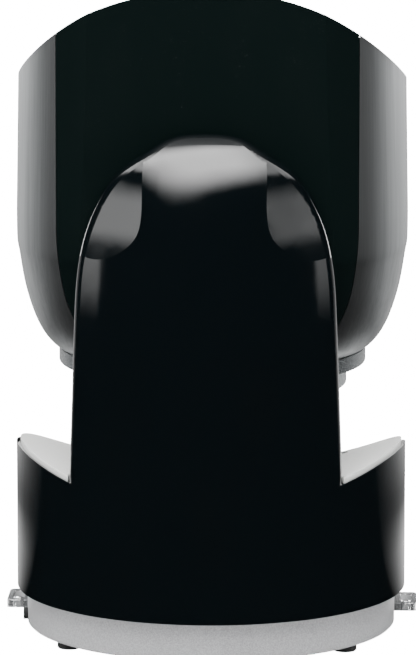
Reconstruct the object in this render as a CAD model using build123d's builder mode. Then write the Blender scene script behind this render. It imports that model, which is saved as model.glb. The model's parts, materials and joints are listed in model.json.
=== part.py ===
"""Electric can opener of the stand type, in millimetres.

+Z is up and the user stands on the -Y side.  The origin is the centre of the round base, at
the level of the feet.  A can stands on the round seat, two coupled clamps grip its side, and
the head comes down the column so that the turret under it runs the cutter round the rim.
"""
import math
import os

from build123d import *

os.makedirs("parts", exist_ok=True)

# ---- driving dimensions ----------------------------------------------------------------
FIT = 0.05              # radial running clearance of a shaft in its bore
GAP = 0.4               # air between pieces that move past each other

FOOT_H = 3.0
FOOT_R = 5.8
FOOT_X = 66.5
FOOT_Y = 50.5

RING_R = 90.0           # silver ring at the foot of the base
RING_WALL = 2.5
RING_TOP = 22.0

BASE_R = 95.0           # black base wall and column
BASE_WALL = 1.7
DECK_R = 93.0
DECK_T = 3.0
RIM_DROP = 2.5          # the black rim stops this far below the deck

COLUMN_FRONT = 61.0     # y of the column's front face
COLUMN_WALL = 2.5
COLUMN_TOP = 252.5
COLUMN_FOOT = 40.0
COLUMN_ROUND = 8.0
FACET_TURN = 35.0       # direction of the two side facets at the column's top

AXIS_Y = -16.0          # axis of the can, the turret and the head
SEAT_R = 50.0
SEAT_TOP = 78.0

HEAD_R = 95.5
HEAD_WALL = 2.5
HEAD_BOTTOM = 137.6
HEAD_TOP = 320.6        # crown of the dome, at the back
HEAD_SLOPE = 0.2         # fall of the top towards the front
HEAD_CORNER = 14.0       # rounding from the side into the dome
DOME_R = 142.0
HEAD_BACK = 59.0
HEAD_ROUND = 9.0         # rounding of the upright corners
HEAD_FRONT = -91.5
BAND_HALF = 72.0        # half width of the black band over the head
BAND_SEAM = 0.3

COLLAR_R = 75.1         # fixed collar under the head
COLLAR_BOTTOM = 130.0
DRUM_R = 65.8           # turning turret under the collar
DRUM_TOP = 129.6
DRUM_BOTTOM = 119.0

ROD_R = 4.0             # two rods that the head slides on
ROD_X = 22.0
ROD_Y = 69.5
ROD_TOP = 238.0
LIFT = 90.0             # travel of the head

CLAMP_IN = 28.0         # inner face of a closed clamp, from the can's axis
SLOT_IN = 26.8          # slots for the clamp posts, from the can's axis
SLOT_OUT = 66.5
MODULE = 1.5            # clamp racks and pinion
PINION_TEETH = 16
PINION_R = MODULE * PINION_TEETH / 2
RACK_PITCH = math.pi * MODULE
TAB_Z = 7.0
TAB_T = 4.0
TAB_W = 25.0
TAB_END = 101.0

DRIVE_MODULE = 1.25     # turret gear and the motor's pinion
TURRET_TEETH = 64
MOTOR_TEETH = 16
TURRET_GEAR_R = DRIVE_MODULE * TURRET_TEETH / 2
MOTOR_GEAR_R = DRIVE_MODULE * MOTOR_TEETH / 2
MOTOR_Y = AXIS_Y - TURRET_GEAR_R - MOTOR_GEAR_R
SHAFT_R = 8.0
GEAR_Z = 151.0
GEAR_T = 7.0

GLAND_R = 3.0           # bush that the mains lead comes out of
GLAND_Y = 9.0
GLAND_Z = 7.2

BUTTON_R = 14.0
BUTTON_Z = 255.0
BUTTON_TRAVEL = 3.0

# heights of the deck along its middle, and how fast it rises to the sides, from front to back
DECK_SECTIONS = [(-96, 60, 450), (-47, 70, 490), (0, 77.1, 490), (47, 78, 443), (96, 80, 390)]


# the column's half width and height round its arch, with the slope of its edge in degrees
ARCH_STEPS = [(62.3, 167, 0), (58.6, 201, 12), (51.1, 221, 28), (41.9, 234, 45), (27.4, 244.5, 64),
              (0, COLUMN_TOP, 90)]


# ---- shared shapes ---------------------------------------------------------------------
def finish(builder, name):
    """Name a finished piece and write it out."""
    builder.part.label = name
    export_step(builder.part, f"parts/{name}.step")


def level(z, x=0.0, y=0.0):
    """A horizontal plane at height z with its origin over (x, y)."""
    return Plane(origin=(x, y, z))


def tooth_ring(pitch_r, module, teeth, turn=0.0):
    """Add a spur gear's outline to the sketch that is being drawn."""
    root = pitch_r - 1.3 * module
    tip = pitch_r + 0.85 * module
    half_root = 0.36 * math.pi * module - 0.15
    half_tip = 0.13 * math.pi * module
    Circle(root)
    with PolarLocations(0, teeth, start_angle=turn):
        Polygon((root - 1, -half_root), (tip, -half_tip), (tip, half_tip), (root - 1, half_root), align=None)


def deck_block(drop, bottom=20.0):
    """Everything under the dished surface of the deck, lowered by drop."""
    half = BASE_R + 3
    with BuildPart(mode=Mode.PRIVATE) as block:
        for y, middle, spread in DECK_SECTIONS:
            side = middle + half**2 / spread - drop
            with BuildSketch(Plane.XZ.offset(-y)):
                with BuildLine():
                    ThreePointArc((-half, side), (0, middle - drop), (half, side))
                    Polyline((half, side), (half, bottom), (-half, bottom), (-half, side))
                make_face()
        loft()
    return block.part


def arch_face(inset):
    """The column's outline seen from the back, on the plane of its front face."""
    steps = [(x - inset * math.cos(math.radians(slope)), z - inset * math.sin(math.radians(slope)))
             for x, z, slope in ARCH_STEPS]
    foot = (66.8 - inset, COLUMN_FOOT - inset)
    with BuildSketch(Plane.XZ.offset(-COLUMN_FRONT)) as arch:
        with BuildLine():
            Polyline((0, foot[1]), foot, steps[0])
            Spline(*steps, tangents=[(-4.5, 127), (-1, 0)])
            Line(steps[-1], (0, foot[1]))
        make_face()
        mirror(about=Plane.YZ)
    return arch.sketch


def back_face(plane, inset, steps):
    """The column's depth, from its axis to its back, at each height, drawn on the given plane."""
    top = 262 - inset
    (foot_depth, foot_z), *rest = [(depth - inset, z) for depth, z in steps]
    with BuildSketch(plane) as back:
        with BuildLine():
            Polyline((0, 0), (foot_depth, 0), (foot_depth, foot_z))
            Spline((foot_depth, foot_z), *rest, (0, top), tangents=[(0, 1), (-1, 0)])
            Line((0, top), (0, 0))
        make_face()
    return back.sketch


def column_block(inset):
    """The column as a full block: round at the back, arched, with a facet at each shoulder."""
    round_steps = [(BASE_R, 150), (91, 200), (85, 230), (76, 245 - inset / 2), (60, 255 - inset)]
    facet_steps = [(99, 160), (92.2, 193), (87.6, 206), (85.9, 214), (82.2, 230),
                   (73.9, 245 - inset / 2), (58, 255 - inset)]
    with BuildPart(mode=Mode.PRIVATE) as block:
        extrude(arch_face(inset), amount=-40)
        revolve(back_face(Plane.XZ, inset, round_steps), axis=Axis.Z, mode=Mode.INTERSECT)
        for turn in (-FACET_TURN, FACET_TURN):
            out = Vector(math.sin(math.radians(turn)), math.cos(math.radians(turn)), 0)
            facing = Plane(origin=(0, 0, 0), x_dir=out, z_dir=out.cross(Vector(0, 0, 1)))
            extrude(back_face(facing, inset, facet_steps), amount=110, both=True, mode=Mode.INTERSECT)
    return block.part


def head_block(inset):
    """The head as a full block: a drum with a flat back and front, and a domed top that falls forwards."""
    wall = HEAD_R - inset
    dome = DOME_R - inset
    centre = HEAD_TOP - DOME_R
    with BuildPart(mode=Mode.PRIVATE) as block:
        with BuildSketch(Plane.XZ.offset(-AXIS_Y)):
            with BuildLine():
                Polyline((0, HEAD_BOTTOM), (COLLAR_R - 1 - inset, HEAD_BOTTOM))
                Spline((COLLAR_R - 1 - inset, HEAD_BOTTOM), (82.8 - inset, 145.7), (89 - inset, 159.6),
                       (92.3 - inset, 172.5), (94.5 - inset, 186), (wall, 206),
                       tangents=[(1, 0.5), (0, 1)])
                Polyline((wall, 206), (wall - 2.5, HEAD_TOP + 30), (0, HEAD_TOP + 30), (0, HEAD_BOTTOM))
            make_face()
        revolve(axis=Axis((0, AXIS_Y, 0), (0, 0, 1)))
        back = HEAD_BACK - inset
        front = HEAD_FRONT + inset
        with BuildSketch(level(HEAD_BOTTOM - 1)) as plan:
            with Locations((0, AXIS_Y)):
                Circle(wall + 0.3)
            with Locations((0, (back + front) / 2)):
                Rectangle(2 * HEAD_R + 60, back - front, mode=Mode.INTERSECT)
            fillet(plan.vertices(), radius=HEAD_ROUND - inset)
        extrude(amount=HEAD_TOP, mode=Mode.INTERSECT)
        with BuildSketch(Plane.XZ.offset(-HEAD_BACK)) as outline:
            with BuildLine():
                side = wall - 1.1
                edge = centre + math.sqrt(dome**2 - side**2)
                Polyline((0, 0), (wall + 6, 0), (side, edge))
                ThreePointArc((side, edge), (side / 2, centre + math.sqrt(dome**2 - side**2 / 4)), (0, centre + dome))
                Line((0, centre + dome), (0, 0))
            make_face()
            corner = outline.vertices().sort_by(Axis.X)[-2:].sort_by(Axis.Z)[-1]
            fillet(corner, radius=HEAD_CORNER - inset)
            mirror(about=Plane.YZ)
        extrude(outline.sketch, amount=400, both=True, dir=(0, 1, HEAD_SLOPE), mode=Mode.INTERSECT)
    return block.part


def band_block(grow):
    """The stretch of the head that the black band covers, grown sideways by grow."""
    half = BAND_HALF + grow
    with BuildPart(mode=Mode.PRIVATE) as block:
        with BuildSketch(Plane.XZ.offset(150)):
            with BuildLine():
                Polyline((0, 360), (half, 360), (half, 205))
                Spline((half, 205), (70.4 + grow, 184), (66.6 + grow, 167), (59.9 + grow, 153),
                       (46 + grow, HEAD_BOTTOM - 4), tangents=[(0, -1), (-0.8, -0.6)])
                Polyline((46 + grow, HEAD_BOTTOM - 4), (0, HEAD_BOTTOM - 4), (0, 360))
            make_face()
            mirror(about=Plane.YZ)
        extrude(amount=-300)
    return block.part


def rounded_column():
    """The column's outside, with the edges between its back and its sides rounded over."""
    with BuildPart(mode=Mode.PRIVATE) as block:
        add(column_block(0))
        curved = block.edges().filter_by(lambda edge: edge.geom_type in (GeomType.BSPLINE, GeomType.ELLIPSE))
        high = curved.filter_by(lambda edge: edge.center().Z > 60 and edge.center().Y > COLUMN_FRONT + 1)
        crown = high.filter_by(lambda edge: edge.center().Z > COLUMN_TOP - 1)
        flanks = high.filter_by(lambda edge: abs(edge.center().X) > 33 and edge.center().Y > 66.5)
        inner = flanks.filter_by(lambda edge: abs(edge.center().X) < 57 and edge.center().Z < 215
                                 and edge.center().Y > 70)
        fillet(crown + [edge for edge in flanks if edge not in inner], radius=COLUMN_ROUND)
    return block.part


# ---- base ------------------------------------------------------------------------------
foot_places = [(x, y) for x in (-FOOT_X, FOOT_X) for y in (-FOOT_Y, FOOT_Y)]
pillar_places = [(-58, -43), (58, -43), (-45, 45), (45, 45)]
PLATE_TOP = FOOT_H + 3
PLATE_R = RING_R - RING_WALL - 0.3

with BuildPart() as rubber_feet:
    with BuildSketch(level(0)):
        with Locations(*foot_places):
            Circle(FOOT_R)
    extrude(amount=FOOT_H)
    chamfer(rubber_feet.faces().sort_by(Axis.Z)[:4].edges(), length=0.6)
finish(rubber_feet, "rubber_feet")

with BuildPart() as base_plate:
    with BuildSketch(level(FOOT_H)):
        Circle(PLATE_R)
        with Locations(*pillar_places):
            Circle(1.9, mode=Mode.SUBTRACT)
    extrude(amount=PLATE_TOP - FOOT_H)
    with BuildSketch(level(FOOT_H)):
        with Locations(*pillar_places):
            Circle(3.6)
    extrude(amount=1.4, mode=Mode.SUBTRACT)
    with BuildSketch(level(FOOT_H)):
        with Locations((84, GLAND_Y)):
            Rectangle(12, 9)
    extrude(amount=4, mode=Mode.SUBTRACT)
finish(base_plate, "base_plate")

with BuildPart() as base_ring:
    with BuildSketch(level(FOOT_H)):
        Circle(RING_R)
        Circle(RING_R - RING_WALL, mode=Mode.SUBTRACT)
    extrude(amount=RING_TOP - FOOT_H)
    chamfer(base_ring.edges().group_by(Axis.Z)[0].sort_by(SortBy.RADIUS)[-1:], length=0.8)
    with BuildSketch(level(TAB_Z - 0.5, 0, AXIS_Y)):
        Rectangle(2 * RING_R + 10, TAB_W + 1)
    extrude(amount=TAB_T + 1, mode=Mode.SUBTRACT)
    with BuildSketch(Plane.YZ.offset(80)):
        with Locations((GLAND_Y, GLAND_Z)):
            Circle(GLAND_R)
    extrude(amount=20, mode=Mode.SUBTRACT)
finish(base_ring, "base_ring")

RAIL_IN = 46.0
RAIL_OUT = 78.0
with BuildPart() as clamp_track:
    with BuildSketch(level(PLATE_TOP)):
        for side in (-1, 1):
            with Locations((side * (RAIL_IN + RAIL_OUT) / 2, AXIS_Y - TAB_W / 2 - GAP - 1.5),
                           (side * (RAIL_IN + RAIL_OUT) / 2, AXIS_Y + TAB_W / 2 + GAP + 1.5)):
                Rectangle(RAIL_OUT - RAIL_IN, 3)
    extrude(amount=TAB_Z + TAB_T + 0.4 - PLATE_TOP)
    with BuildSketch(level(PLATE_TOP)):
        for side in (-1, 1):
            with Locations((side * 50, AXIS_Y)):
                Rectangle(4, TAB_W + 2 * GAP + 6)
    extrude(amount=TAB_Z - GAP - PLATE_TOP)
finish(clamp_track, "clamp_track")

PIN_R = 3.0
with BuildPart() as pinion_pin:
    with BuildSketch(level(PLATE_TOP, 0, AXIS_Y)):
        Circle(PIN_R)
    extrude(amount=15.5)
    with BuildSketch(level(PLATE_TOP, 0, AXIS_Y)):
        Circle(5.5)
    extrude(amount=5)
finish(pinion_pin, "pinion_pin")

with BuildPart() as clamp_spring:
    with BuildSketch(level(PLATE_TOP + 0.3, 0, AXIS_Y)):
        Circle(11)
        Circle(9.6, mode=Mode.SUBTRACT)
        Circle(8.4)
        Circle(7.2, mode=Mode.SUBTRACT)
        with Locations((0, 9)):
            Rectangle(1.6, 1.6)
        with Locations((0, -6.4)):
            Rectangle(1.6, 1.8)
    extrude(amount=3.5)
finish(clamp_spring, "clamp_spring")

with BuildPart() as ballast_plate:
    with BuildSketch(level(PLATE_TOP, 0, -58)):
        RectangleRounded(78, 30, 4)
        with Locations((-30, 0), (30, 0)):
            Circle(2.2, mode=Mode.SUBTRACT)
    extrude(amount=6)
finish(ballast_plate, "ballast_plate")

with BuildPart() as cord_gland:
    with BuildSketch(Plane.YZ.offset(80)):
        with Locations((GLAND_Y, GLAND_Z)):
            Circle(GLAND_R)
            Circle(2.0, mode=Mode.SUBTRACT)
    extrude(amount=11.6)
    with BuildSketch(Plane.YZ.offset(83)):
        with Locations((GLAND_Y, GLAND_Z)):
            Circle(3.7)
            Circle(GLAND_R, mode=Mode.SUBTRACT)
    extrude(amount=2.5)
finish(cord_gland, "cord_gland")

def deck_pillars():
    """The four screw pillars between the base plate and the deck."""
    with BuildPart(mode=Mode.PRIVATE) as pillars:
        with BuildSketch(level(PLATE_TOP)):
            with Locations(*pillar_places):
                Circle(4.2)
                Circle(1.7, mode=Mode.SUBTRACT)
        extrude(amount=100)
        add(deck_block(1.0, 0), mode=Mode.INTERSECT)
    return pillars.part


with BuildPart() as base_deck:
    with BuildSketch(level(30)):
        Circle(DECK_R)
        with Locations((0, COLUMN_FRONT + 50)):
            Rectangle(2 * 65.9, 100.6, mode=Mode.SUBTRACT)
    extrude(amount=90)
    add(deck_block(0), mode=Mode.INTERSECT)
    add(deck_block(DECK_T), mode=Mode.SUBTRACT)
    add(deck_pillars())
    with BuildSketch(level(SEAT_TOP - 12, 0, AXIS_Y)):
        Circle(SEAT_R + 0.3)
    extrude(amount=40, mode=Mode.SUBTRACT)
    for side in (-1, 1):
        with BuildSketch(level(60, side * (SLOT_IN + SLOT_OUT) / 2, AXIS_Y)):
            Rectangle(SLOT_OUT - SLOT_IN, 12)
        extrude(amount=40, mode=Mode.SUBTRACT)
finish(base_deck, "base_deck")

with BuildPart() as rear_housing:
    with BuildSketch(level(RING_TOP + 2)):
        Circle(BASE_R)
        Circle(BASE_R - BASE_WALL, mode=Mode.SUBTRACT)
    extrude(amount=90)
    add(deck_block(RIM_DROP), mode=Mode.INTERSECT)
    with BuildSketch(level(RING_TOP)):
        Circle(BASE_R)
        Circle(RING_R - 4, mode=Mode.SUBTRACT)
    extrude(amount=2.2)
    add(rounded_column())
    add(column_block(COLUMN_WALL), mode=Mode.SUBTRACT)
finish(rear_housing, "rear_housing")

# ---- column ----------------------------------------------------------------------------
SLOT_HALF = 15.6
NECK_Z = 141.0
NECK_T = 11.0
COVER_T = 2.4

with BuildPart() as column_cover:
    with BuildSketch(Plane.XZ.offset(-COLUMN_FRONT)):
        add(arch_face(COLUMN_WALL + 0.3))
        with Locations((0, COLUMN_FOOT)):
            Rectangle(140, 40, mode=Mode.SUBTRACT)
        with Locations((0, (NECK_Z + NECK_T + LIFT + NECK_Z) / 2)):
            Rectangle(2 * SLOT_HALF, NECK_T + LIFT + 3, mode=Mode.SUBTRACT)
    extrude(amount=-COVER_T)
finish(column_cover, "column_cover")

with BuildPart() as slide_rods:
    with BuildSketch(level(PLATE_TOP)):
        with Locations((-ROD_X, ROD_Y), (ROD_X, ROD_Y)):
            Circle(ROD_R)
    extrude(amount=ROD_TOP - PLATE_TOP)
    chamfer(slide_rods.edges().group_by(Axis.Z)[-1], length=0.8)
finish(slide_rods, "slide_rods")

with BuildPart() as lower_rod_bracket:
    with BuildSketch(level(PLATE_TOP)):
        with Locations((0, ROD_Y)):
            RectangleRounded(64, 13, 3)
        with Locations((-ROD_X, ROD_Y), (ROD_X, ROD_Y)):
            Circle(ROD_R + FIT, mode=Mode.SUBTRACT)
    extrude(amount=14)
finish(lower_rod_bracket, "lower_rod_bracket")

with BuildPart() as upper_rod_clips:
    with BuildSketch(level(ROD_TOP - 6)):
        for side in (-1, 1):
            with Locations((side * (ROD_X + 0.5), 67.9)):
                Rectangle(11, 8.2)
        with Locations((-ROD_X, ROD_Y), (ROD_X, ROD_Y)):
            Circle(ROD_R + FIT, mode=Mode.SUBTRACT)
    extrude(amount=6)
finish(upper_rod_clips, "upper_rod_clips")

STOP_TOP = 88.0
with BuildPart() as stop_collars:
    with BuildSketch(level(STOP_TOP - 12)):
        with Locations((-ROD_X, ROD_Y), (ROD_X, ROD_Y)):
            Circle(ROD_R + 1.9)
            Circle(ROD_R + FIT, mode=Mode.SUBTRACT)
    extrude(amount=8)
finish(stop_collars, "stop_collars")

with BuildPart() as stop_bumpers:
    with BuildSketch(level(STOP_TOP - 4)):
        with Locations((-ROD_X, ROD_Y), (ROD_X, ROD_Y)):
            Circle(ROD_R + 1.8)
            Circle(ROD_R + 2 * FIT, mode=Mode.SUBTRACT)
    extrude(amount=4)
finish(stop_bumpers, "stop_bumpers")

# ---- can seat --------------------------------------------------------------------------
with BuildPart() as can_seat:
    with BuildSketch(level(SEAT_TOP - 11.5, 0, AXIS_Y)):
        Circle(SEAT_R)
    extrude(amount=11.5)
    fillet(can_seat.edges().group_by(Axis.Z)[-1], radius=1.5)
    with BuildSketch(level(SEAT_TOP - 11.5, 0, AXIS_Y)):
        Circle(SEAT_R - 2)
    extrude(amount=9.5, mode=Mode.SUBTRACT)
    for radius in (16, 24, 46):
        with BuildSketch(level(SEAT_TOP - 0.6, 0, AXIS_Y)):
            Circle(radius)
            Circle(radius - 1.2, mode=Mode.SUBTRACT)
        extrude(amount=1, mode=Mode.SUBTRACT)
    for side in (-1, 1):
        with BuildSketch(level(60, side * (SLOT_IN + SLOT_OUT) / 2, AXIS_Y)):
            Rectangle(SLOT_OUT - SLOT_IN, 12)
        extrude(amount=30, mode=Mode.SUBTRACT)
finish(can_seat, "can_seat")

# ---- clamps ----------------------------------------------------------------------------
CARRIAGE_IN = 30.0
CARRIAGE_OUT = 50.0
RACK_Z = 12.4
RACK_TOP = 18.4
RACK_BACK = 5.5
PAD_T = 2.2
POST_T = 8.0
POST_TOP = 96.0


def clamp_block(side):
    """One clamp's carriage, with the toothed rack that passes the pinion on its side."""
    rack_y = AXIS_Y - side * PINION_R
    with BuildPart(mode=Mode.PRIVATE) as block:
        with BuildSketch(level(TAB_Z)):
            with Locations((side * (CARRIAGE_IN + CARRIAGE_OUT) / 2, AXIS_Y)):
                Rectangle(CARRIAGE_OUT - CARRIAGE_IN, 13)
        extrude(amount=RACK_TOP - TAB_Z)
        with BuildSketch(level(RACK_Z)):
            with Locations((side * 38, (AXIS_Y + rack_y - side * RACK_BACK) / 2)):
                Rectangle(14, PINION_R + RACK_BACK)
            with Locations((side * 4, rack_y - side * (RACK_BACK / 2 + 1.3 * MODULE / 2))):
                Rectangle(76, RACK_BACK - 1.3 * MODULE)
            for tooth in range(-1, 7):
                with Locations((-side * tooth * RACK_PITCH, rack_y)):
                    Polygon((-1.55, -side * 2.1), (1.55, -side * 2.1), (0.5, side * 1.25), (-0.5, side * 1.25),
                            align=None)
        extrude(amount=RACK_TOP - RACK_Z)
    return block.part


def tab_block(side):
    """The clear finger tab: a flat bar with a slot near its rounded end."""
    with BuildPart(mode=Mode.PRIVATE) as block:
        with BuildSketch(level(TAB_Z)):
            with Locations((side * (CARRIAGE_OUT + TAB_END) / 2, AXIS_Y)):
                RectangleRounded(TAB_END - CARRIAGE_OUT, TAB_W, 2.5)
            with Locations((side * (TAB_END - 5.5), AXIS_Y)):
                RectangleRounded(5, TAB_W - 8, 2.4, mode=Mode.SUBTRACT)
        extrude(amount=TAB_T)
        chamfer(block.edges().group_by(Axis.Z)[-1], length=0.5)
    return block.part


for side, name in ((-1, "left"), (1, "right")):
    with BuildPart() as clamp:
        add(clamp_block(side))
    finish(clamp, f"{name}_clamp")

    with BuildPart() as tab:
        add(tab_block(side))
    finish(tab, f"{name}_tab")

    with BuildPart() as post:
        with BuildSketch(level(RACK_TOP)):
            with Locations((side * (CLAMP_IN + PAD_T + POST_T / 2), AXIS_Y)):
                RectangleRounded(POST_T, 9, 1)
        extrude(amount=POST_TOP - RACK_TOP)
        fillet(post.edges().group_by(Axis.Z)[-1], radius=0.9)
    finish(post, f"{name}_post")

    with BuildPart() as pad:
        with BuildSketch(level(POST_TOP - 13)):
            with Locations((side * (CLAMP_IN + PAD_T / 2), AXIS_Y)):
                Rectangle(PAD_T, 8.6)
        extrude(amount=11.5)
    finish(pad, f"{name}_pad")

with BuildPart() as clamp_pinion:
    with BuildSketch(level(RACK_Z - 0.4, 0, AXIS_Y)):
        tooth_ring(PINION_R, MODULE, PINION_TEETH, 180 / PINION_TEETH)
        Circle(PIN_R + FIT, mode=Mode.SUBTRACT)
    extrude(amount=6.4)
finish(clamp_pinion, "clamp_pinion")

# ---- head ------------------------------------------------------------------------------
head_skin = head_block(0) - head_block(HEAD_WALL)

with BuildPart() as head_band:
    add(head_skin)
    add(band_block(0), mode=Mode.INTERSECT)
    with BuildSketch(Plane.XZ.offset(-HEAD_BACK - 5)):
        with Locations((0, NECK_Z + NECK_T / 2)):
            Rectangle(2 * SLOT_HALF, NECK_T + 2)
    extrude(amount=20, mode=Mode.SUBTRACT)
    with BuildSketch(Plane.XZ.offset(-HEAD_FRONT - 10)):
        with Locations((0, BUTTON_Z)):
            Circle(BUTTON_R + 2.2)
    extrude(amount=20, mode=Mode.SUBTRACT)
finish(head_band, "head_band")

with BuildPart() as wings:
    add(head_skin)
    add(band_block(BAND_SEAM), mode=Mode.SUBTRACT)
for wing, name in zip(wings.solids().sort_by(Axis.X), ("left_wing", "right_wing")):
    with BuildPart() as side_wing:
        add(wing)
    finish(side_wing, name)

with BuildPart() as head_floor:
    with BuildSketch(level(HEAD_BOTTOM + 0.1, 0, AXIS_Y)):
        Circle(COLLAR_R - HEAD_WALL - 1.6)
        Circle(24, mode=Mode.SUBTRACT)
    extrude(amount=2.2)
finish(head_floor, "head_floor")

with BuildPart() as bearing_collar:
    with BuildSketch(level(COLLAR_BOTTOM, 0, AXIS_Y)):
        Circle(COLLAR_R)
        Circle(COLLAR_R - 18, mode=Mode.SUBTRACT)
    extrude(amount=HEAD_BOTTOM - COLLAR_BOTTOM)
    fillet(bearing_collar.edges().group_by(Axis.Z)[0].sort_by(SortBy.RADIUS)[-1:], radius=1.2)
finish(bearing_collar, "bearing_collar")

with BuildPart() as head_chassis:
    with BuildSketch(level(NECK_Z, 0, AXIS_Y)):
        Circle(66)
        Circle(11 + FIT, mode=Mode.SUBTRACT)
        with PolarLocations(48, 3, start_angle=90):
            Circle(9, mode=Mode.SUBTRACT)
    extrude(amount=4)
    with BuildSketch(level(NECK_Z, 0, AXIS_Y)):
        Circle(17)
        Circle(11 + FIT, mode=Mode.SUBTRACT)
    extrude(amount=8.5)
    with BuildSketch(level(NECK_Z, 0, 50)):
        Rectangle(30, 40)
    extrude(amount=4)
    with BuildSketch(level(NECK_Z, 0, 59)):
        Rectangle(30, 22)
    extrude(amount=NECK_T)
    with BuildSketch(level(NECK_Z)):
        with Locations((-9, 66.5), (9, 66.5)):
            Circle(1.8)
    extrude(amount=NECK_T, mode=Mode.SUBTRACT)
finish(head_chassis, "head_chassis")

with BuildPart() as slide_carriage:
    with BuildSketch(level(STOP_TOP + 0.3)):
        with Locations((0, 69.5)):
            Rectangle(58, 11)
        with Locations((-ROD_X, ROD_Y), (ROD_X, ROD_Y)):
            Circle(ROD_R + 1.2, mode=Mode.SUBTRACT)
    extrude(amount=NECK_Z - STOP_TOP - 0.3)
    with BuildSketch(level(STOP_TOP + 10)):
        with Locations((0, 69.5)):
            Rectangle(22, 20)
    extrude(amount=28, mode=Mode.SUBTRACT)
    with BuildSketch(level(NECK_Z)):
        with Locations((-9, 66.5), (9, 66.5)):
            Circle(1.4)
    extrude(amount=-10, mode=Mode.SUBTRACT)
finish(slide_carriage, "slide_carriage")

with BuildPart() as rod_bushes:
    for bottom in (STOP_TOP + 0.5, NECK_Z - 14.2):
        with BuildSketch(level(bottom)):
            with Locations((-ROD_X, ROD_Y), (ROD_X, ROD_Y)):
                Circle(ROD_R + 1.15)
                Circle(ROD_R + FIT, mode=Mode.SUBTRACT)
        extrude(amount=14)
finish(rod_bushes, "rod_bushes")

with BuildPart() as neck_screws:
    with BuildSketch(level(NECK_Z - 8)):
        with Locations((-9, 66.5), (9, 66.5)):
            Circle(1.3)
    extrude(amount=NECK_T + 8)
    with BuildSketch(level(NECK_Z + NECK_T)):
        with Locations((-9, 66.5), (9, 66.5)):
            Circle(2.8)
            RegularPolygon(1.3, 6, mode=Mode.SUBTRACT)
    extrude(amount=2)
finish(neck_screws, "neck_screws")

with BuildPart() as turret_bush:
    with BuildSketch(level(NECK_Z, 0, AXIS_Y)):
        Circle(11)
        Circle(SHAFT_R + FIT, mode=Mode.SUBTRACT)
    extrude(amount=8.5)
finish(turret_bush, "turret_bush")

BRIDGE_Z = 161.0
with BuildPart() as motor_bridge:
    with BuildSketch(level(BRIDGE_Z, 0, MOTOR_Y + 6)):
        RectangleRounded(100, 44, 5)
        with Locations((0, -6)):
            Circle(6, mode=Mode.SUBTRACT)
    extrude(amount=3)
    with BuildSketch(level(NECK_Z + 4)):
        for side in (-1, 1):
            with Locations((side * 44, MOTOR_Y + 18)):
                Rectangle(6, 10)
    extrude(amount=BRIDGE_Z - NECK_Z - 4)
finish(motor_bridge, "motor_bridge")

with BuildPart() as gearbox:
    with BuildSketch(level(BRIDGE_Z + 3, 0, MOTOR_Y)):
        Circle(18)
        Circle(3 + FIT, mode=Mode.SUBTRACT)
    extrude(amount=22)
finish(gearbox, "gearbox")

with BuildPart() as motor:
    with BuildSketch(level(BRIDGE_Z + 25, 0, MOTOR_Y)):
        Circle(17.5)
    extrude(amount=42)
    fillet(motor.edges().group_by(Axis.Z)[-1], radius=2)
    with BuildSketch(level(BRIDGE_Z + 67, 0, MOTOR_Y)):
        Circle(5)
    extrude(amount=3)
finish(motor, "motor")

with BuildPart() as drive_pinion:
    with BuildSketch(level(GEAR_Z, 0, MOTOR_Y)):
        tooth_ring(MOTOR_GEAR_R, DRIVE_MODULE, MOTOR_TEETH, 90 + 180 / MOTOR_TEETH)
    extrude(amount=GEAR_T)
    with BuildSketch(level(GEAR_Z, 0, MOTOR_Y)):
        Circle(3)
    extrude(amount=30)
finish(drive_pinion, "drive_pinion")

with BuildPart() as control_board:
    with BuildSketch(level(BRIDGE_Z + 3, 0, -37)):
        Rectangle(50, 1.6)
    extrude(amount=44)
    with BuildSketch(level(BRIDGE_Z + 20, 0, -34)):
        with Locations((-15, 0), (0, 0), (15, 0)):
            Rectangle(9, 4.4)
    extrude(amount=12)
finish(control_board, "control_board")

# ---- start button ----------------------------------------------------------------------
with BuildPart() as button_bezel:
    with BuildSketch(Plane.XZ.offset(-HEAD_FRONT - 3)):
        with Locations((0, BUTTON_Z)):
            Circle(BUTTON_R + 2)
            Circle(BUTTON_R + 0.4, mode=Mode.SUBTRACT)
    extrude(amount=4)
    with BuildSketch(Plane.XZ.offset(-HEAD_FRONT)):
        with Locations((0, BUTTON_Z)):
            Circle(BUTTON_R + 4)
            Circle(BUTTON_R + 0.4, mode=Mode.SUBTRACT)
    extrude(amount=1)
finish(button_bezel, "button_bezel")

with BuildPart() as start_button:
    with BuildSketch(Plane.XZ.offset(BASE_R)):
        with Locations((0, BUTTON_Z)):
            Circle(BUTTON_R)
    extrude(amount=-7.5)
    fillet(start_button.faces().sort_by(Axis.Y)[0].edges(), radius=1.5)
finish(start_button, "start_button")

with BuildPart() as button_switch:
    with BuildSketch(Plane.XZ.offset(-HEAD_FRONT - 4 - BUTTON_TRAVEL - 0.6)):
        with Locations((0, BUTTON_Z)):
            Rectangle(13, 8)
    extrude(amount=-7)
    with BuildSketch(Plane.XZ.offset(-HEAD_FRONT - 4 - BUTTON_TRAVEL - 7.6)):
        with Locations((0, BUTTON_Z - 6)):
            Rectangle(30, 28)
    extrude(amount=-1.6)
finish(button_switch, "button_switch")

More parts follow.
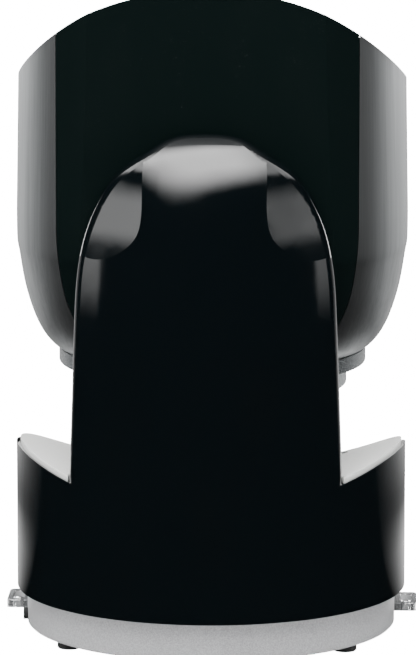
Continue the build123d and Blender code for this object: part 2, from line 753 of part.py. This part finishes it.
# ---- turret ----------------------------------------------------------------------------
with BuildPart() as turret_drum:
    with BuildSketch(level(DRUM_BOTTOM, 0, AXIS_Y)):
        Circle(DRUM_R)
    extrude(amount=DRUM_TOP - DRUM_BOTTOM)
    fillet(turret_drum.edges().group_by(Axis.Z)[0], radius=1.2)
    with BuildSketch(level(DRUM_BOTTOM, 0, AXIS_Y)):
        Circle(DRUM_R - 2.6)
        Circle(SHAFT_R + 5, mode=Mode.SUBTRACT)
    extrude(amount=DRUM_TOP - DRUM_BOTTOM - 3, mode=Mode.SUBTRACT)
    with BuildSketch(level(DRUM_BOTTOM + 1, 0, AXIS_Y)):
        Circle(SHAFT_R + 0.02)
    extrude(amount=12, mode=Mode.SUBTRACT)
finish(turret_drum, "turret_drum")

with BuildPart() as turret_shaft:
    with BuildSketch(level(DRUM_BOTTOM + 1, 0, AXIS_Y)):
        Circle(SHAFT_R)
    extrude(amount=GEAR_Z + GEAR_T - DRUM_BOTTOM - 1)
finish(turret_shaft, "turret_shaft")

with BuildPart() as turret_gear:
    with BuildSketch(level(GEAR_Z, 0, AXIS_Y)):
        tooth_ring(TURRET_GEAR_R, DRIVE_MODULE, TURRET_TEETH, 270)
        Circle(SHAFT_R + 0.02, mode=Mode.SUBTRACT)
        with PolarLocations(23, 6):
            Circle(7, mode=Mode.SUBTRACT)
    extrude(amount=GEAR_T)
finish(turret_gear, "turret_gear")

CUTTER_R = 11.0
CUTTER_X = 46.0
CUTTER_TRAVEL = 12.0
ROLLER_X = -38.0
with BuildPart() as cutter_guides:
    with BuildSketch(level(DRUM_TOP - 8.4)):
        with Locations((41, AXIS_Y - 10), (41, AXIS_Y + 10)):
            Rectangle(36, 4)
    extrude(amount=5.4)
finish(cutter_guides, "cutter_guides")

with BuildPart() as cutter_carriage:
    with BuildSketch(level(DRUM_TOP - 8.4)):
        with Locations((CUTTER_X, AXIS_Y)):
            Rectangle(16, 15.2)
    extrude(amount=5)
    with BuildSketch(level(DRUM_TOP - 23)):
        with Locations((CUTTER_X, AXIS_Y)):
            Circle(2.5)
    extrude(amount=15)
    with BuildSketch(level(DRUM_TOP - 24)):
        with Locations((CUTTER_X, AXIS_Y)):
            Circle(4)
    extrude(amount=1.6)
finish(cutter_carriage, "cutter_carriage")

with BuildPart() as cutter_wheel:
    with BuildSketch(level(DRUM_TOP - 22)):
        with Locations((CUTTER_X, AXIS_Y)):
            Circle(5)
            Circle(2.5 + FIT, mode=Mode.SUBTRACT)
    extrude(amount=9)
    with BuildSketch(level(DRUM_TOP - 21.5)):
        with Locations((CUTTER_X, AXIS_Y)):
            Circle(CUTTER_R)
            Circle(2.5 + FIT, mode=Mode.SUBTRACT)
    extrude(amount=2)
    chamfer(cutter_wheel.edges().filter_by(lambda edge: abs(edge.radius - CUTTER_R) < 0.1
                                           if edge.geom_type == GeomType.CIRCLE else False), length=0.9, length2=3)
finish(cutter_wheel, "cutter_wheel")

with BuildPart() as roller_pin:
    with BuildSketch(level(DRUM_TOP - 24)):
        with Locations((ROLLER_X, AXIS_Y)):
            Circle(2.5)
    extrude(amount=21)
    with BuildSketch(level(DRUM_TOP - 25)):
        with Locations((ROLLER_X, AXIS_Y)):
            Circle(4)
    extrude(amount=1.6)
finish(roller_pin, "roller_pin")

with BuildPart() as rim_roller:
    with BuildSketch(level(DRUM_TOP - 23)):
        with Locations((ROLLER_X, AXIS_Y)):
            Circle(7.5)
            Circle(2.5 + FIT, mode=Mode.SUBTRACT)
            with PolarLocations(7.7, 24):
                Circle(0.5, mode=Mode.SUBTRACT)
    extrude(amount=10)
finish(rim_roller, "rim_roller")

with BuildPart() as lid_magnet:
    with BuildSketch(level(DRUM_BOTTOM - 4, 0, AXIS_Y)):
        Circle(9)
    extrude(amount=3.9)
    fillet(lid_magnet.edges().group_by(Axis.Z)[0], radius=1)
finish(lid_magnet, "lid_magnet")

# ---- fasteners -------------------------------------------------------------------------
with BuildPart() as base_screws:
    with BuildSketch(level(FOOT_H - 0.6)):
        with Locations(*pillar_places):
            Circle(3.2)
            RegularPolygon(1.4, 6, mode=Mode.SUBTRACT)
    extrude(amount=1.9)
    with BuildSketch(level(FOOT_H + 1.3)):
        with Locations(*pillar_places):
            Circle(1.6)
    extrude(amount=16)
finish(base_screws, "base_screws")

cover_places = [(x, z) for x in (-40, 40) for z in (92, 200)]
with BuildPart() as cover_screws:
    with BuildSketch(Plane.XZ.offset(-COLUMN_FRONT)):
        with Locations(*cover_places):
            Circle(2.8)
            RegularPolygon(1.2, 6, mode=Mode.SUBTRACT)
    extrude(amount=1.2)
finish(cover_screws, "cover_screws")
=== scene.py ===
"""Looks of a stand-type electric can opener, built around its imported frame."""
import json
import math

import bmesh
import bpy
from mathutils import Matrix, Vector


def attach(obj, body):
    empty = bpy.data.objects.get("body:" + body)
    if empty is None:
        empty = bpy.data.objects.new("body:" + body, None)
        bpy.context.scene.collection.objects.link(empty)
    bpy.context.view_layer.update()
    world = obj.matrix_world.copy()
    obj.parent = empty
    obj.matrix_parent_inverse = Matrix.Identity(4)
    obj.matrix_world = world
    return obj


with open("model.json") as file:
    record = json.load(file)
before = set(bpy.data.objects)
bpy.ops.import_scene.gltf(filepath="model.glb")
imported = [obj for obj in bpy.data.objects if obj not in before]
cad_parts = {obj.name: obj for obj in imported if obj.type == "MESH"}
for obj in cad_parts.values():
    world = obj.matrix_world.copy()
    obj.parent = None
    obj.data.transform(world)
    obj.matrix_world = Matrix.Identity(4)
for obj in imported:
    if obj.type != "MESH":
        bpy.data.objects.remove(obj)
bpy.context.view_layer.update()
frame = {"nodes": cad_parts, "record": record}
nodes = frame["nodes"]

MM = 0.001
AXIS_Y = -16 * MM       # axis of the can, the turret and the head
SEAT_TOP = 78 * MM
RING_THICK = 0.55 * MM  # radius of a soft ring's section
RAIL_IN = 68.5          # inner face of a seam rail from the middle, in mm
RAIL_WIDTH = 6.5
RAIL_OUTLINE = [(-60, 170), (-67, 200), (-67, 266), (36, 286), (36, 200), (30, 170)]
RAIL_ROUND = 1.2 * MM

LIGHT_AIM = Vector((0, 0, 0.16))
FLOOR_SIZE = 30.0
FLOOR_GLOW = 16.0       # how bright the floor looks to the camera
FLOOR_GLOSS = 0.008     # and how bright it is in the object's gloss
UNDER_GLOSS = 0.8       # the same close in, where the head's lower sides look
NEAR_GLOSS = 0.28       # the same where the base looks
FAR_GLOSS = 0.78        # the same where the head's sides look
WORLD_FILL = 0.72
WORLD_GLOSS = 0.008
WORLD_SEEN = 16.0

LENS = 300.0
SENSOR = 36.0
VIEW_SPAN = 0.319       # height of the picture at the object
AIM = Vector((0.0015, 0, 0.1485))
CAMERA_TURN = math.radians(182.3)
CAMERA_RISE = math.radians(10.2)


# ---- helpers for node trees ------------------------------------------------------------
def add_node(tree, kind, **settings):
    """A new node with some of its inputs and properties set."""
    node = tree.nodes.new(kind)
    for key, value in settings.items():
        if key in node.inputs:
            node.inputs[key].default_value = value
        else:
            setattr(node, key.lower(), value)
    return node


def math_node(tree, operation, first, second):
    """A Math node; each operand is a number or a socket."""
    node = tree.nodes.new("ShaderNodeMath")
    node.operation = operation
    for socket, value in zip(node.inputs, (first, second)):
        if isinstance(value, bpy.types.NodeSocket):
            tree.links.new(value, socket)
        else:
            socket.default_value = value
    return node.outputs[0]


def ramp(tree, value, low, high, to_low=0.0, to_high=1.0):
    """Map a value from low..high to to_low..to_high, clamped."""
    node = tree.nodes.new("ShaderNodeMapRange")
    for socket, number in zip(node.inputs[1:5], (low, high, to_low, to_high)):
        socket.default_value = number
    tree.links.new(value, node.inputs[0])
    return node.outputs[0]


def noise(tree, vector, scale, detail=3.0, roughness=0.5):
    """A Noise texture's value."""
    node = add_node(tree, "ShaderNodeTexNoise", Scale=scale, Detail=detail, Roughness=roughness)
    tree.links.new(vector, node.inputs["Vector"])
    return node.outputs["Fac"]


def new_group(name, inputs, outputs):
    """An empty shader node group with float inputs (name, default) and outputs (name, type)."""
    group = bpy.data.node_groups.new(name, "ShaderNodeTree")
    for label, default in inputs:
        socket = group.interface.new_socket(name=label, in_out="INPUT", socket_type="NodeSocketFloat")
        socket.default_value = default
    for label, kind in outputs:
        group.interface.new_socket(name=label, in_out="OUTPUT", socket_type=kind)
    return group, group.nodes.new("NodeGroupInput"), group.nodes.new("NodeGroupOutput")


def stretched(group, scales):
    """Object coordinates multiplied by a scale along each axis."""
    place = group.nodes.new("ShaderNodeTexCoord")
    mapping = group.nodes.new("ShaderNodeMapping")
    mapping.inputs["Scale"].default_value = scales
    group.links.new(place.outputs["Object"], mapping.inputs["Vector"])
    return mapping.outputs["Vector"]


def handling_group():
    """Smudges and fine dust that gather on a surface that is touched."""
    results = [(label, "NodeSocketFloat") for label in ("Roughness Shift", "Dust Mask", "Height")]
    group, inside, outside = new_group("Handling", [("Smudge", 0.5), ("Dust", 0.3)], results)
    spot = stretched(group, (1, 1, 1))
    smear = ramp(group, noise(group, stretched(group, (1, 1, 0.45)), 38, 4, 0.55), 0.46, 0.72)
    fleck = ramp(group, noise(group, spot, 1500, 2, 0.6), 0.69, 0.76)
    cloud = ramp(group, noise(group, spot, 60, 2), 0.42, 0.66)
    peel = noise(group, spot, 420, 2)
    shift = math_node(group, "MULTIPLY", smear, inside.outputs["Smudge"])
    mask = math_node(group, "MULTIPLY", math_node(group, "MULTIPLY", fleck, cloud), inside.outputs["Dust"])
    group.links.new(shift, outside.inputs["Roughness Shift"])
    group.links.new(mask, outside.inputs["Dust Mask"])
    group.links.new(peel, outside.inputs["Height"])
    return group


def grain_group():
    """The fine flake or moulding grain of paint and plastic."""
    group, inside, outside = new_group("Grain", [("Scale", 1800.0), ("Contrast", 0.5)],
                                       [("Value", "NodeSocketFloat"), ("Height", "NodeSocketFloat")])
    spot = stretched(group, (1, 1, 1))
    flake = group.nodes.new("ShaderNodeTexVoronoi")
    group.links.new(spot, flake.inputs["Vector"])
    group.links.new(inside.outputs["Scale"], flake.inputs["Scale"])
    tone = group.nodes.new("ShaderNodeSeparateColor")
    group.links.new(flake.outputs["Color"], tone.inputs[0])
    grey = math_node(group, "SUBTRACT", tone.outputs[0], 0.5)
    broad = math_node(group, "SUBTRACT", noise(group, spot, 55, 3), 0.5)
    mixed = math_node(group, "ADD", grey, math_node(group, "MULTIPLY", broad, 0.35))
    value = math_node(group, "ADD", math_node(group, "MULTIPLY", mixed, inside.outputs["Contrast"]), 0.5)
    group.links.new(value, outside.inputs["Value"])
    group.links.new(flake.outputs["Distance"], outside.inputs["Height"])
    return group


def streak_group():
    """Drawn streaks that run up and down a surface."""
    group, inside, outside = new_group("Streaks", [("Strength", 0.5)],
                                       [("Value", "NodeSocketFloat"), ("Height", "NodeSocketFloat")])
    fine = noise(group, stretched(group, (1, 1, 0.012)), 900, 3, 0.6)
    wide = noise(group, stretched(group, (1, 1, 0.05)), 130, 3, 0.6)
    both = math_node(group, "ADD", math_node(group, "MULTIPLY", fine, 0.45),
                     math_node(group, "MULTIPLY", wide, 0.55))
    centred = math_node(group, "SUBTRACT", both, 0.5)
    value = math_node(group, "ADD", math_node(group, "MULTIPLY", centred, inside.outputs["Strength"]), 0.5)
    group.links.new(value, outside.inputs["Value"])
    group.links.new(fine, outside.inputs["Height"])
    return group


def turned_group():
    """Fine rings left by a lathe, round the axis of the can."""
    group, inside, outside = new_group("Turned Rings", [("Strength", 0.5)],
                                       [("Value", "NodeSocketFloat"), ("Height", "NodeSocketFloat")])
    place = group.nodes.new("ShaderNodeTexCoord")
    split = group.nodes.new("ShaderNodeSeparateXYZ")
    group.links.new(place.outputs["Object"], split.inputs[0])
    depth = math_node(group, "SUBTRACT", split.outputs["Y"], AXIS_Y)
    squares = math_node(group, "ADD", math_node(group, "POWER", split.outputs["X"], 2.0),
                        math_node(group, "MULTIPLY", depth, depth))
    radius = math_node(group, "SQRT", squares, 0.0)
    spread = group.nodes.new("ShaderNodeCombineXYZ")
    group.links.new(radius, spread.inputs[0])
    group.links.new(math_node(group, "MULTIPLY", split.outputs["Z"], 0.2), spread.inputs[2])
    rings = noise(group, spread.outputs[0], 1600, 3, 0.65)
    centred = math_node(group, "SUBTRACT", rings, 0.5)
    value = math_node(group, "ADD", math_node(group, "MULTIPLY", centred, inside.outputs["Strength"]), 0.5)
    group.links.new(value, outside.inputs["Value"])
    group.links.new(rings, outside.inputs["Height"])
    return group


HANDLING = handling_group()
GRAIN = grain_group()
STREAKS = streak_group()
TURNED = turned_group()


# ---- materials -------------------------------------------------------------------------
class Surface:
    """A material under construction: its tree, its shader and the groups placed in it."""

    def __init__(self, name, **shader_values):
        self.material = bpy.data.materials.new(name)
        self.material.use_nodes = True
        self.tree = self.material.node_tree
        self.shader = self.tree.nodes["Principled BSDF"]
        for key, value in shader_values.items():
            self.shader.inputs[key.replace("_", " ")].default_value = value

    def place(self, group, **values):
        """Put one of the shared groups in this material."""
        node = self.tree.nodes.new("ShaderNodeGroup")
        node.node_tree = group
        for key, value in values.items():
            node.inputs[key].default_value = value
        return node

    def colour(self, factor, dark, light):
        """Base colour between two tones."""
        mix = self.tree.nodes.new("ShaderNodeMix")
        mix.data_type = "RGBA"
        mix.inputs["A"].default_value = (*dark, 1)
        mix.inputs["B"].default_value = (*light, 1)
        self.tree.links.new(factor, mix.inputs["Factor"])
        self.tree.links.new(mix.outputs["Result"], self.shader.inputs["Base Color"])

    def roughness(self, factor, low, high):
        """Roughness between two values."""
        self.tree.links.new(ramp(self.tree, factor, 0, 1, low, high), self.shader.inputs["Roughness"])

    def bump(self, height, strength, distance):
        """Relief from a height."""
        node = add_node(self.tree, "ShaderNodeBump", Strength=strength, Distance=distance)
        self.tree.links.new(height, node.inputs["Height"])
        self.tree.links.new(node.outputs["Normal"], self.shader.inputs["Normal"])


def moulded(name, tone, dusty, low, high, smudge, dust, peel, **shader_values):
    """Smooth moulded plastic with handling marks."""
    surface = Surface(name, **shader_values)
    marks = surface.place(HANDLING, Smudge=smudge, Dust=dust)
    surface.colour(marks.outputs["Dust Mask"], tone, dusty)
    surface.roughness(marks.outputs["Roughness Shift"], low, high)
    surface.bump(marks.outputs["Height"], peel, 0.00002)
    return surface.material


def grained(name, dark, light, low, high, scale, contrast, relief, **shader_values):
    """Paint or plastic with a fine grain."""
    surface = Surface(name, **shader_values)
    grain = surface.place(GRAIN, Scale=scale, Contrast=contrast)
    surface.colour(grain.outputs["Value"], dark, light)
    surface.roughness(grain.outputs["Value"], low, high)
    surface.bump(grain.outputs["Height"], relief, 0.00004)
    return surface.material


def drawn(name, group, dark, light, low, high, strength, relief, **shader_values):
    """Metal or lacquer with streaks or rings."""
    surface = Surface(name, **shader_values)
    lines = surface.place(group, Strength=strength)
    surface.colour(lines.outputs["Value"], dark, light)
    surface.roughness(lines.outputs["Value"], high, low)
    surface.bump(lines.outputs["Height"], relief, 0.00003)
    return surface.material


black_gloss = moulded("black_gloss", (0.0010, 0.0018, 0.0022), (0.10, 0.11, 0.11),
                      0.07, 0.22, 0.5, 0.25, 0.03,
                      Coat_Weight=0.3, Coat_Roughness=0.04)
black_panel = moulded("black_panel", (0.0006, 0.0030, 0.0028), (0.09, 0.10, 0.10),
                      0.45, 0.58, 0.6, 0.35, 0.10,
                      Specular_IOR_Level=0.06)
black_satin = grained("black_satin", (0.008, 0.009, 0.010), (0.020, 0.021, 0.022),
                      0.38, 0.52, 2200, 0.6, 0.15)
rubber = grained("rubber", (0.006, 0.006, 0.006), (0.016, 0.016, 0.016), 0.62, 0.80, 1500, 0.8, 0.30)
silver_lacquer = drawn("silver_lacquer", STREAKS, (0.22, 0.235, 0.24), (0.66, 0.68, 0.69),
                       0.26, 0.44, 1.0, 0.10,
                       Metallic=1.0)
silver_flake = grained("silver_flake", (0.27, 0.27, 0.275), (0.50, 0.50, 0.51), 0.32, 0.44, 2600, 0.70, 0.20,
                       Metallic=0.40)
warm_grey = grained("warm_grey", (0.56, 0.56, 0.545), (0.72, 0.72, 0.705), 0.34, 0.46, 2400, 0.5, 0.12,
                    Metallic=0.10)
collar_grey = grained("collar_grey", (0.13, 0.14, 0.145), (0.22, 0.235, 0.24), 0.22, 0.32, 2400, 0.5, 0.12,
                      Metallic=0.8)
collar_dark = grained("collar_dark", (0.20, 0.215, 0.22), (0.33, 0.345, 0.35), 0.34, 0.46, 2400, 0.5, 0.12,
                      Metallic=0.35)
turned_steel = drawn("turned_steel", TURNED, (0.42, 0.42, 0.42), (0.70, 0.70, 0.70), 0.20, 0.36, 1.0, 0.20,
                     Metallic=1.0)
plain_steel = drawn("plain_steel", STREAKS, (0.34, 0.34, 0.35), (0.60, 0.60, 0.61), 0.22, 0.38, 0.9, 0.12,
                    Metallic=1.0)
cast_alloy = grained("cast_alloy", (0.40, 0.40, 0.41), (0.62, 0.62, 0.63), 0.42, 0.60, 1300, 0.7, 0.35,
                     Metallic=0.9)
sintered_bronze = grained("sintered_bronze", (0.36, 0.24, 0.11), (0.58, 0.42, 0.22),
                          0.38, 0.55, 2400, 0.8, 0.25,
                          Metallic=1.0)
white_nylon = grained("white_nylon", (0.62, 0.62, 0.59), (0.76, 0.76, 0.73), 0.40, 0.52, 1800, 0.5, 0.12)
board_green = grained("board_green", (0.010, 0.075, 0.035), (0.020, 0.13, 0.065), 0.30, 0.42, 1500, 0.8, 0.12)
clear_plastic = moulded("clear_plastic", (0.80, 0.81, 0.82), (0.90, 0.90, 0.90), 0.05, 0.16, 0.6, 0.2, 0.05,
                        Transmission_Weight=0.92, IOR=1.49)

SLOT_LOOKS = {"black_gloss": black_gloss, "black_satin": black_satin, "silver_sparkle": silver_flake,
              "silver_satin": silver_lacquer, "warm_grey": warm_grey, "collar_grey": collar_grey,
              "collar_dark": collar_dark, "steel_brushed": turned_steel, "steel_plain": plain_steel,
              "alloy": cast_alloy, "bronze": sintered_bronze, "rubber": rubber,
              "clear_plastic": clear_plastic, "white_plastic": white_nylon, "board_green": board_green}


def dress_frame():
    """Give every node of the frame the material of its slot."""
    for part in frame["record"]["subparts"]:
        look = black_panel if part["node"] == "head_band" else SLOT_LOOKS[part["material_slot"]]
        for slot in nodes[part["node"]].material_slots:
            slot.material = look


dress_frame()


# ---- small pieces ----------------------------------------------------------------------
def settle(mesh, name, material, body):
    """Turn a finished bmesh into a piece that rides on a body of the frame."""
    bmesh.ops.recalc_face_normals(mesh, faces=mesh.faces)
    data = bpy.data.meshes.new(name)
    mesh.to_mesh(data)
    mesh.free()
    data.materials.append(material)
    piece = bpy.data.objects.new(name, data)
    bpy.context.collection.objects.link(piece)
    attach(piece, body)
    return piece


def rounded(mesh, edges, width, segments=3):
    """Round some edges over."""
    bmesh.ops.bevel(mesh, geom=list(edges), offset=width, segments=segments, profile=0.5, affect="EDGES",
                    material=-1, clamp_overlap=True)


def plate(mesh, corners, travel):
    """A flat face through some corners, given thickness along travel."""
    face = mesh.faces.new([mesh.verts.new(Vector(corner) * MM) for corner in corners])
    grown = bmesh.ops.extrude_face_region(mesh, geom=[face])
    moved = [item for item in grown["geom"] if isinstance(item, bmesh.types.BMVert)]
    bmesh.ops.translate(mesh, vec=Vector(travel) * MM, verts=moved)
    mesh.normal_update()


def seam_rails():
    """The rail behind each seam of the head, which the black band and the side cover both meet."""
    for side, name in ((1, "right"), (-1, "left")):
        rail = bmesh.new()
        plate(rail, [(side * RAIL_IN, y, z) for y, z in RAIL_OUTLINE], (side * RAIL_WIDTH, 0, 0))
        rounded(rail, rail.edges, RAIL_ROUND)
        settle(rail, f"{name}_seam_rail", black_satin, "head")


def grip_rings():
    """Soft rings let into the grooves of the can seat."""
    for name, radius in (("inner", 15.4), ("outer", 23.4)):
        ring = bmesh.new()
        circle = bmesh.ops.create_circle(ring, segments=12, radius=RING_THICK)
        bmesh.ops.rotate(ring, matrix=Matrix.Rotation(math.pi / 2, 3, "X"), verts=circle["verts"])
        bmesh.ops.translate(ring, vec=(radius * MM, AXIS_Y, SEAT_TOP), verts=circle["verts"])
        bmesh.ops.spin(ring, geom=ring.verts[:] + ring.edges[:], cent=(0, AXIS_Y, 0), axis=(0, 0, 1),
                       angle=math.tau, steps=96, use_merge=True)
        settle(ring, f"{name}_grip_ring", rubber, "stand")


seam_rails()
grip_rings()


# ---- stage -----------------------------------------------------------------------------
def pale_floor():
    """The floor that the object stands on: pale to the eye, and dark in the object's own gloss."""
    mesh = bmesh.new()
    bmesh.ops.create_grid(mesh, x_segments=1, y_segments=1, size=FLOOR_SIZE)
    data = bpy.data.meshes.new("floor")
    mesh.to_mesh(data)
    mesh.free()
    floor = bpy.data.objects.new("floor", data)
    bpy.context.collection.objects.link(floor)
    paint = bpy.data.materials.new("floor_paint")
    paint.use_nodes = True
    tree = paint.node_tree
    shader = tree.nodes["Principled BSDF"]
    shader.inputs["Base Color"].default_value = (0.82, 0.82, 0.82, 1)
    shader.inputs["Roughness"].default_value = 0.9
    shader.inputs["Specular IOR Level"].default_value = 0.1
    glow = add_node(tree, "ShaderNodeEmission", Strength=FLOOR_GLOW)
    seen = tree.nodes.new("ShaderNodeAddShader")
    tree.links.new(shader.outputs[0], seen.inputs[0])
    tree.links.new(glow.outputs[0], seen.inputs[1])
    shade = add_node(tree, "ShaderNodeEmission", Strength=1.0)
    place = tree.nodes.new("ShaderNodeTexCoord")
    split = tree.nodes.new("ShaderNodeSeparateXYZ")
    tree.links.new(place.outputs["Object"], split.inputs[0])
    away = tree.nodes.new("ShaderNodeVectorMath")
    away.operation = "LENGTH"
    tree.links.new(place.outputs["Object"], away.inputs[0])
    turn = math_node(tree, "DIVIDE", split.outputs["Y"], away.outputs["Value"])
    ahead = ramp(tree, turn, -0.78, -0.28, 1, 0)
    reach = ramp(tree, away.outputs["Value"], 0.38, 0.55, NEAR_GLOSS, FAR_GLOSS)
    under = ramp(tree, away.outputs["Value"], 0.24, 0.34, UNDER_GLOSS, 0)
    lit = math_node(tree, "MULTIPLY", ahead, math_node(tree, "ADD", reach, under))
    tree.links.new(math_node(tree, "ADD", lit, FLOOR_GLOSS),
                   shade.inputs["Color"])
    path = tree.nodes.new("ShaderNodeLightPath")
    first = tree.nodes.new("ShaderNodeMixShader")
    tree.links.new(path.outputs["Is Camera Ray"], first.inputs[0])
    tree.links.new(shader.outputs[0], first.inputs[1])
    tree.links.new(seen.outputs[0], first.inputs[2])
    second = tree.nodes.new("ShaderNodeMixShader")
    tree.links.new(path.outputs["Is Glossy Ray"], second.inputs[0])
    tree.links.new(first.outputs[0], second.inputs[1])
    tree.links.new(shade.outputs[0], second.inputs[2])
    tree.links.new(second.outputs[0], tree.nodes["Material Output"].inputs[0])
    floor.data.materials.append(paint)


def feather(tree, across, low, high):
    """Fade a softbox in over its first part, low, and out over its last part, high."""
    rise = ramp(tree, across, 0.0, low)
    fall = ramp(tree, across, 1.0 - high, 1.0, 1, 0)
    for fade in (rise, fall):
        fade.node.interpolation_type = "SMOOTHSTEP"
    return math_node(tree, "MULTIPLY", rise, fall)


def softbox(name, turn, rise, distance, width, height, power, roll=0.0, side=0.3, foot=0.3, top=0.3):
    """A rectangular area light with soft edges; turn is measured round the object from its back."""
    data = bpy.data.lights.new(name, "AREA")
    data.shape = "RECTANGLE"
    data.size = width
    data.size_y = height
    data.energy = power
    data.use_nodes = True
    tree = data.node_tree
    split = tree.nodes.new("ShaderNodeSeparateXYZ")
    tree.links.new(tree.nodes.new("ShaderNodeNewGeometry").outputs["Parametric"], split.inputs[0])
    cover = math_node(tree, "MULTIPLY", feather(tree, split.outputs[0], side, side),
                      feather(tree, split.outputs[1], foot, top))
    tree.links.new(cover, tree.nodes["Emission"].inputs["Strength"])
    light = bpy.data.objects.new(name, data)
    turn = math.radians(turn)
    rise = math.radians(rise)
    away = Vector((math.sin(turn) * math.cos(rise), math.cos(turn) * math.cos(rise), math.sin(rise)))
    light.location = LIGHT_AIM + away * distance
    facing = (-away).to_track_quat("-Z", "Y").to_matrix() @ Matrix.Rotation(math.radians(roll), 3, "Z")
    light.rotation_euler = facing.to_euler()
    bpy.context.collection.objects.link(light)


def studio():
    """Soft studio light: a white surround, dark in the gloss, and softboxes round the object."""
    world = bpy.data.worlds.new("studio")
    bpy.context.scene.world = world
    world.use_nodes = True
    tree = world.node_tree
    fill = tree.nodes["Background"]
    fill.inputs["Color"].default_value = (0.95, 0.97, 1.0, 1)
    fill.inputs["Strength"].default_value = WORLD_FILL
    dark = add_node(tree, "ShaderNodeBackground", Strength=WORLD_GLOSS)
    white = add_node(tree, "ShaderNodeBackground", Strength=WORLD_SEEN)
    path = tree.nodes.new("ShaderNodeLightPath")
    glossy = tree.nodes.new("ShaderNodeMixShader")
    tree.links.new(path.outputs["Is Glossy Ray"], glossy.inputs[0])
    tree.links.new(fill.outputs[0], glossy.inputs[1])
    tree.links.new(dark.outputs[0], glossy.inputs[2])
    seen = tree.nodes.new("ShaderNodeMixShader")
    tree.links.new(path.outputs["Is Camera Ray"], seen.inputs[0])
    tree.links.new(glossy.outputs[0], seen.inputs[1])
    tree.links.new(white.outputs[0], seen.inputs[2])
    tree.links.new(seen.outputs[0], tree.nodes["World Output"].inputs[0])
    softbox("crown_box", 4, 64, 1.6, 3.0, 2.4, 330, 27, side=0.42, foot=0.42, top=0.3)
    for side, name, share in ((1, "right", 1.0), (-1, "left", 0.6)):
        softbox(f"{name}_strip", side * 73, 10, 1.6, 0.5, 0.8, 4.2 * share, side=0.2, foot=0.35, top=0.45)
        softbox(f"{name}_canopy", side * 92, 50, 1.6, 1.9, 1.1, 34 * share, foot=0.15, top=0.3)
        softbox(f"{name}_panel", side * 145, 20, 1.8, 1.3, 1.5, 70)


# ---- camera ----------------------------------------------------------------------------
def camera():
    """A long lens behind the object, a little above its middle."""
    data = bpy.data.cameras.new("camera")
    data.lens = LENS
    data.sensor_width = SENSOR
    data.sensor_fit = "AUTO"
    data.clip_end = 20
    eye = bpy.data.objects.new("camera", data)
    distance = VIEW_SPAN * LENS / SENSOR
    towards = Vector((math.sin(CAMERA_TURN) * math.cos(CAMERA_RISE),
                      -math.cos(CAMERA_TURN) * math.cos(CAMERA_RISE), math.sin(CAMERA_RISE)))
    eye.location = AIM + towards * distance
    eye.rotation_euler = (-towards).to_track_quat("-Z", "Y").to_euler()
    bpy.context.collection.objects.link(eye)
    bpy.context.scene.camera = eye


pale_floor()
studio()
camera()
